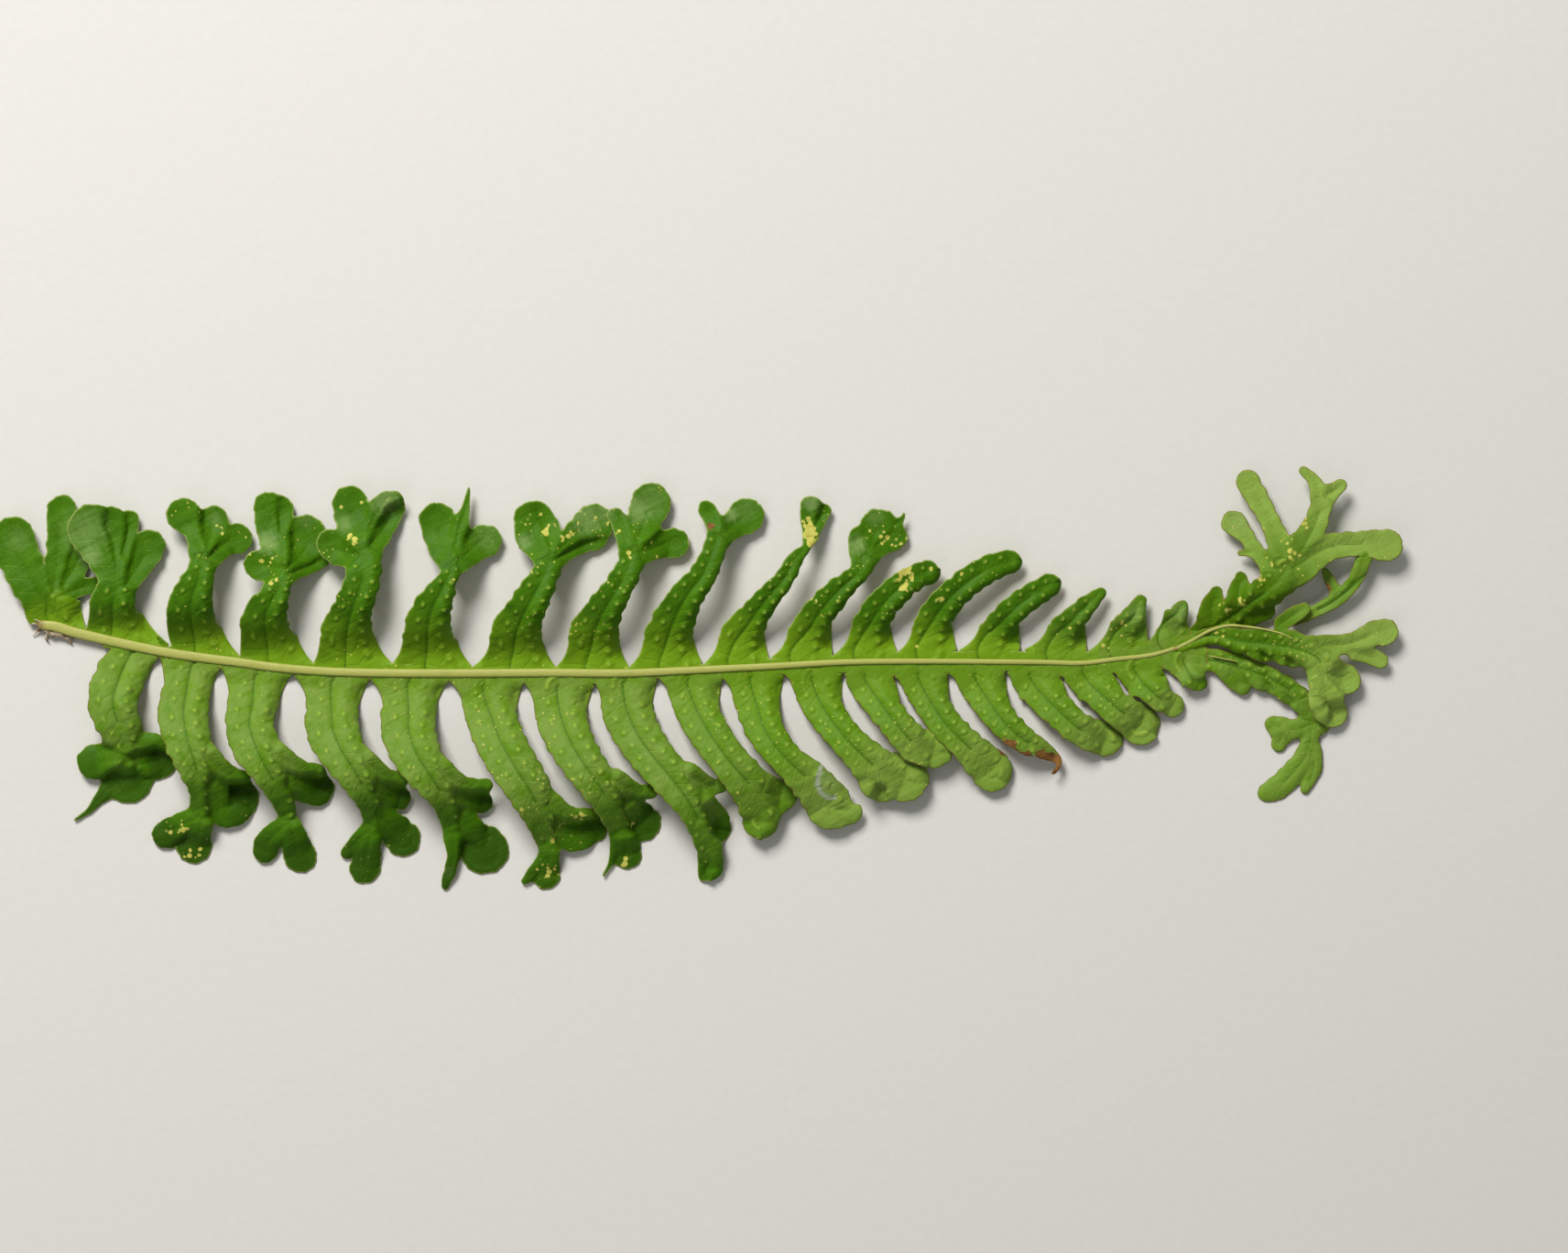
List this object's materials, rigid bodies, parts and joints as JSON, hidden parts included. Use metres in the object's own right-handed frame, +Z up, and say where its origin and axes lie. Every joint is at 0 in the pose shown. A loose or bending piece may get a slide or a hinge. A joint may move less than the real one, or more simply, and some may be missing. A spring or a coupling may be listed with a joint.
{
  "type": "crested common polypody frond",
  "caption": "One picked crested fern frond lying upper side up: arched lobes with forked tips along a pale midrib, ending in a branched crest.",
  "frame": {"origin": "centre of the frond's bounding box, on the surface it lies on", "axes": "+X from the broken base of the midrib to the crested tip, +Z up out of the frond's upper side, +Y across it"},
  "size_m": [0.2571, 0.0774, 0.0081],
  "materials": {
    "leaf_green": "fresh leaf, satin upper side, pale green midrib"
  },
  "bodies": {
    "root": {"frond": "leaf_green"}
  },
  "joints": []
}
